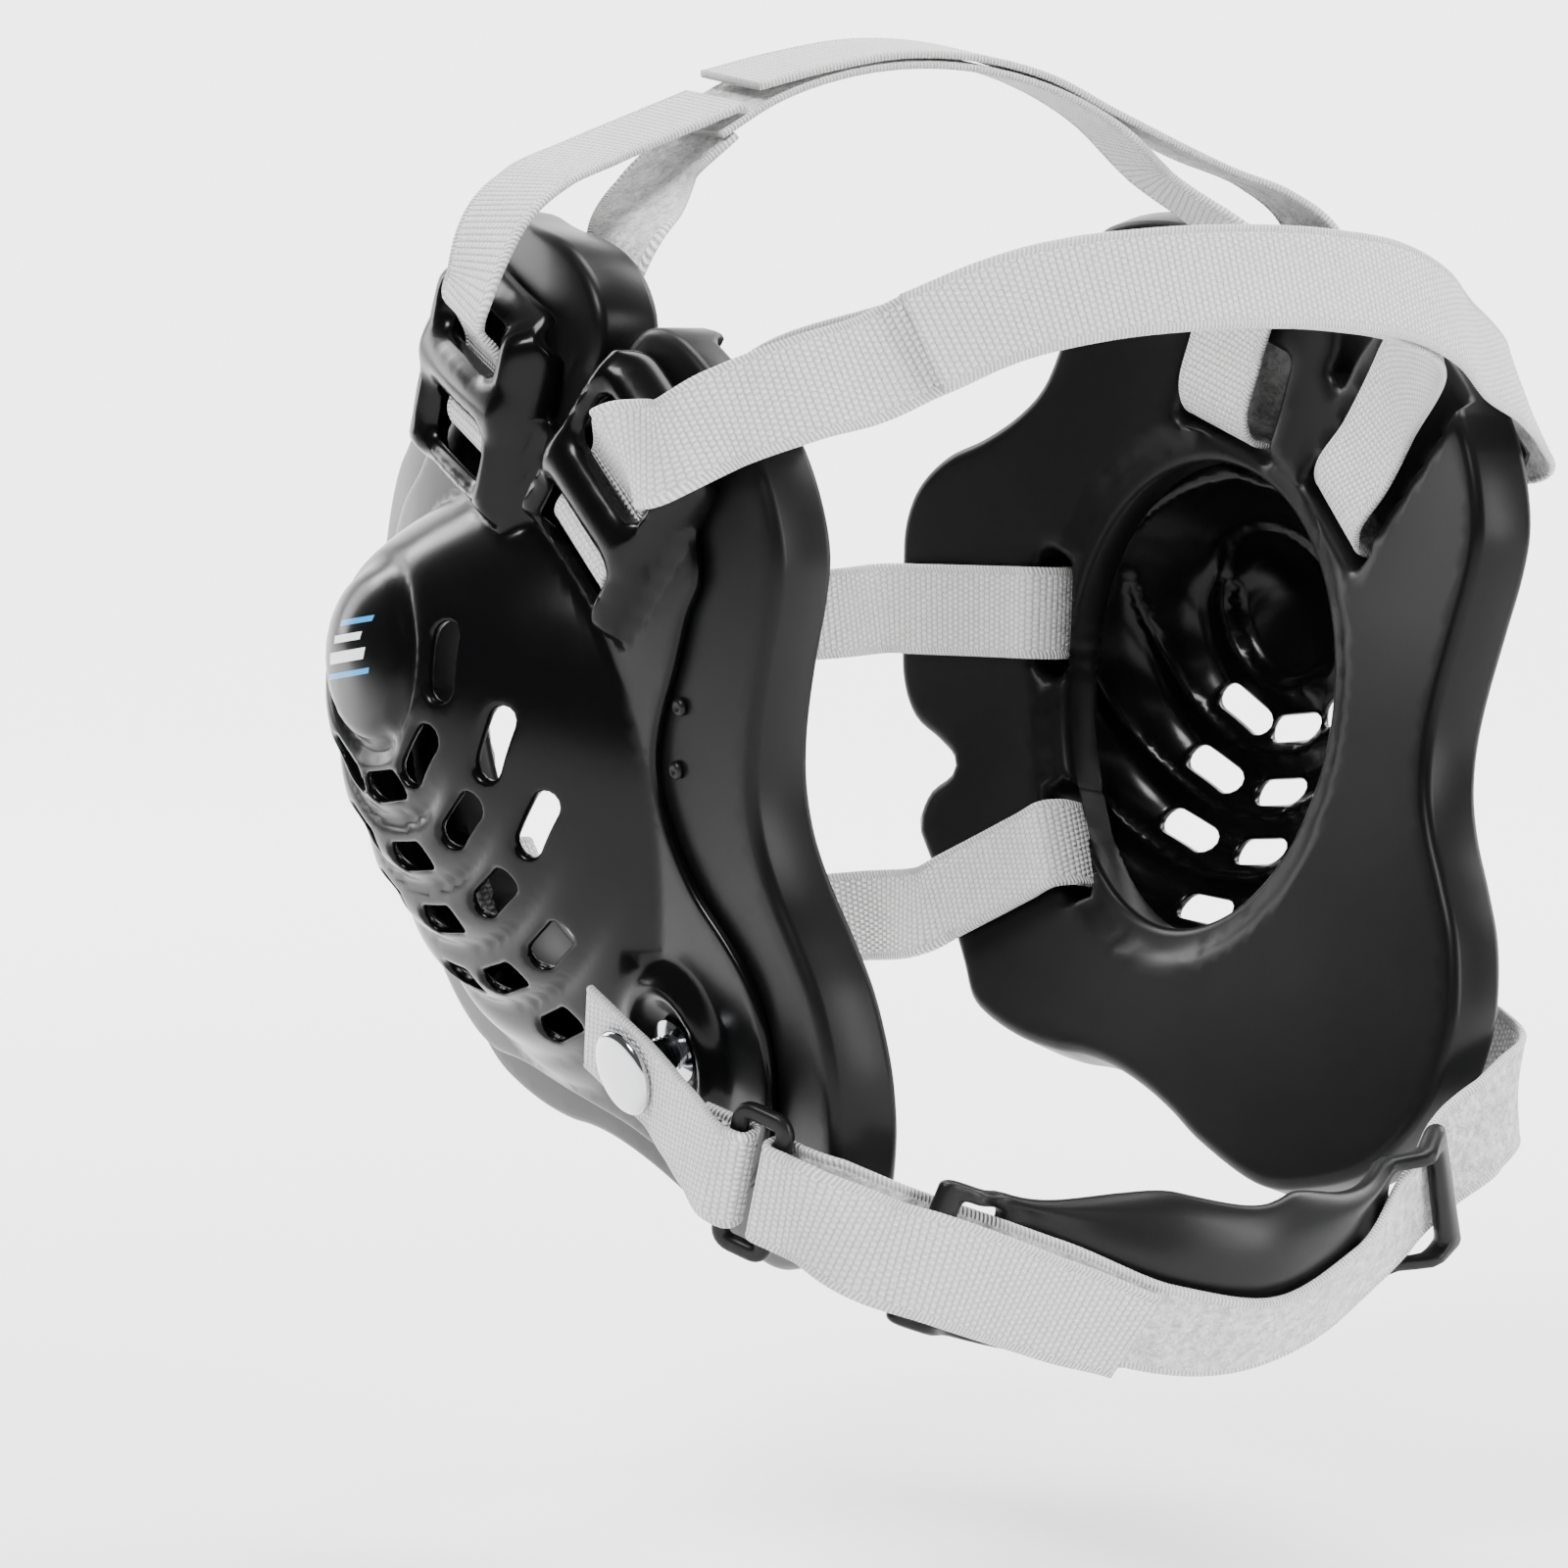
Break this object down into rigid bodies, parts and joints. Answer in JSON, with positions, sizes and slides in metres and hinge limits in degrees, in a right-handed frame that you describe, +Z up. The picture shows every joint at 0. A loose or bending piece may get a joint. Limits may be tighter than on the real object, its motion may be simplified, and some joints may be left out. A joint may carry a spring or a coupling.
{
  "type": "wrestling ear guard headgear",
  "caption": "Wrestling ear guard: padded shells over both ears, held by webbing over the crown, forehead, back of the head and chin, with a chin cup.",
  "frame": {"origin": "underside of the top strap where it rests on the crown, on the middle plane of the head", "axes": "+Z up, the wearer faces -Y, and the wearer's left is +X"},
  "size_m": [0.2298, 0.2192, 0.2418],
  "materials": {
    "foam": "smooth foam skin",
    "shell_plastic": "gloss",
    "snap_metal": "polished",
    "webbing": "woven",
    "cup_plastic": "satin"
  },
  "bodies": {
    "root": {"pad_left": "foam", "shell_left": "shell_plastic", "rivet_upper_left": "shell_plastic", "rivet_lower_left": "shell_plastic", "snap_stud_left": "snap_metal", "snap_cap_left": "snap_metal", "pad_right": "foam", "shell_right": "shell_plastic", "rivet_upper_right": "shell_plastic", "rivet_lower_right": "shell_plastic", "snap_stud_right": "snap_metal", "snap_cap_right": "snap_metal", "top_strap_left": "webbing", "top_strap_right": "webbing", "front_strap_left": "webbing", "front_strap_right": "webbing", "back_strap_upper": "webbing", "back_strap_lower": "webbing", "chin_strap": "webbing", "snap_tab": "webbing", "strap_ring": "cup_plastic", "chin_cup": "cup_plastic"}
  },
  "joints": []
}
